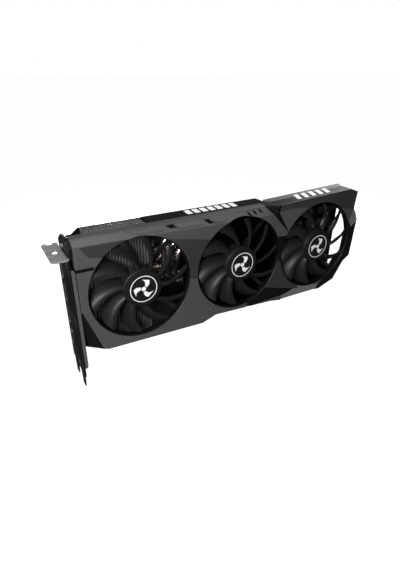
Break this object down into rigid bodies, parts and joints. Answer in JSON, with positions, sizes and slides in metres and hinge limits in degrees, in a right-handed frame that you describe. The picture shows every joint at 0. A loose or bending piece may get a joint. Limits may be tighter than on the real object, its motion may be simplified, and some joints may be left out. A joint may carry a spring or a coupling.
{
  "type": "graphics card",
  "caption": "Dual-slot graphics card with three axial fans in a faceted grey shroud, a slot bracket with video ports and a backplate.",
  "frame": {"origin": "on the outer face of the slot bracket, level with the component side of the circuit board and the bottom of the edge connector", "axes": "+X from the bracket to the tail, -Y towards the fans, +Y towards the backplate, +Z from the edge connector to the top edge"},
  "size_m": [0.3084, 0.0413, 0.1363],
  "materials": {
    "black_steel": "fine black powder coat",
    "bright_steel": "nickel plated",
    "grey_plastic": "satin moulded, dark grey",
    "silver_plastic": "satin moulded, light grey",
    "black_plastic": "satin moulded, black",
    "fan_plastic": "satin moulded, black",
    "black_laminate": "solder mask",
    "aluminium": "bare rolled sheet",
    "nickel_copper": "thin nickel plating over copper",
    "chip": "moulded epoxy"
  },
  "bodies": {
    "card": {"backplate": "black_steel", "backplate_screw_1": "bright_steel", "backplate_screw_2": "bright_steel", "backplate_screw_3": "bright_steel", "backplate_screw_4": "bright_steel", "badge_bar": "black_plastic", "bracket_screw_lower": "bright_steel", "bracket_screw_upper": "bright_steel", "choke_row": "black_plastic", "circuit_board": "black_laminate", "cold_plate": "nickel_copper", "display_port_1": "bright_steel", "display_port_2": "bright_steel", "display_port_3": "bright_steel", "end_cap": "black_plastic", "fan_1_bearing": "bright_steel", "fan_1_frame": "black_plastic", "fan_1_stator": "nickel_copper", "fan_2_bearing": "bright_steel", "fan_2_frame": "black_plastic", "fan_2_stator": "nickel_copper", "fan_3_bearing": "bright_steel", "fan_3_frame": "black_plastic", "fan_3_stator": "nickel_copper", "fin_stack_left": "aluminium", "fin_stack_right": "aluminium", "graphics_chip": "chip", "hdmi_port": "bright_steel", "heat_pipe_1": "nickel_copper", "heat_pipe_2": "nickel_copper", "heat_pipe_3": "nickel_copper", "heat_pipe_4": "nickel_copper", "io_bracket": "black_steel", "memory_chip_1": "chip", "memory_chip_2": "chip", "memory_chip_3": "chip", "memory_chip_4": "chip", "memory_chip_5": "chip", "memory_chip_6": "chip", "power_socket": "black_plastic", "shroud": "grey_plastic", "spring_plate": "bright_steel", "spring_screw_1": "bright_steel", "spring_screw_2": "bright_steel", "spring_screw_3": "bright_steel", "spring_screw_4": "bright_steel", "top_panel": "silver_plastic"},
    "fan_1": {"fan_1_rotor": "fan_plastic", "fan_1_hub_cap": "fan_plastic", "fan_1_shaft": "bright_steel"},
    "fan_2": {"fan_2_rotor": "fan_plastic", "fan_2_hub_cap": "fan_plastic", "fan_2_shaft": "bright_steel"},
    "fan_3": {"fan_3_rotor": "fan_plastic", "fan_3_hub_cap": "fan_plastic", "fan_3_shaft": "bright_steel"}
  },
  "joints": [
    {"name": "fan_1_spin", "type": "hinge", "parent": "card", "child": "fan_1", "pos_m": [0.0551, -0.0275, 0.0691], "axis": [0, 1, 0], "continuous": true},
    {"name": "fan_2_spin", "type": "hinge", "parent": "card", "child": "fan_2", "pos_m": [0.1513, -0.0275, 0.0691], "axis": [0, 1, 0], "continuous": true},
    {"name": "fan_3_spin", "type": "hinge", "parent": "card", "child": "fan_3", "pos_m": [0.2428, -0.0275, 0.0691], "axis": [0, 1, 0], "continuous": true}
  ]
}
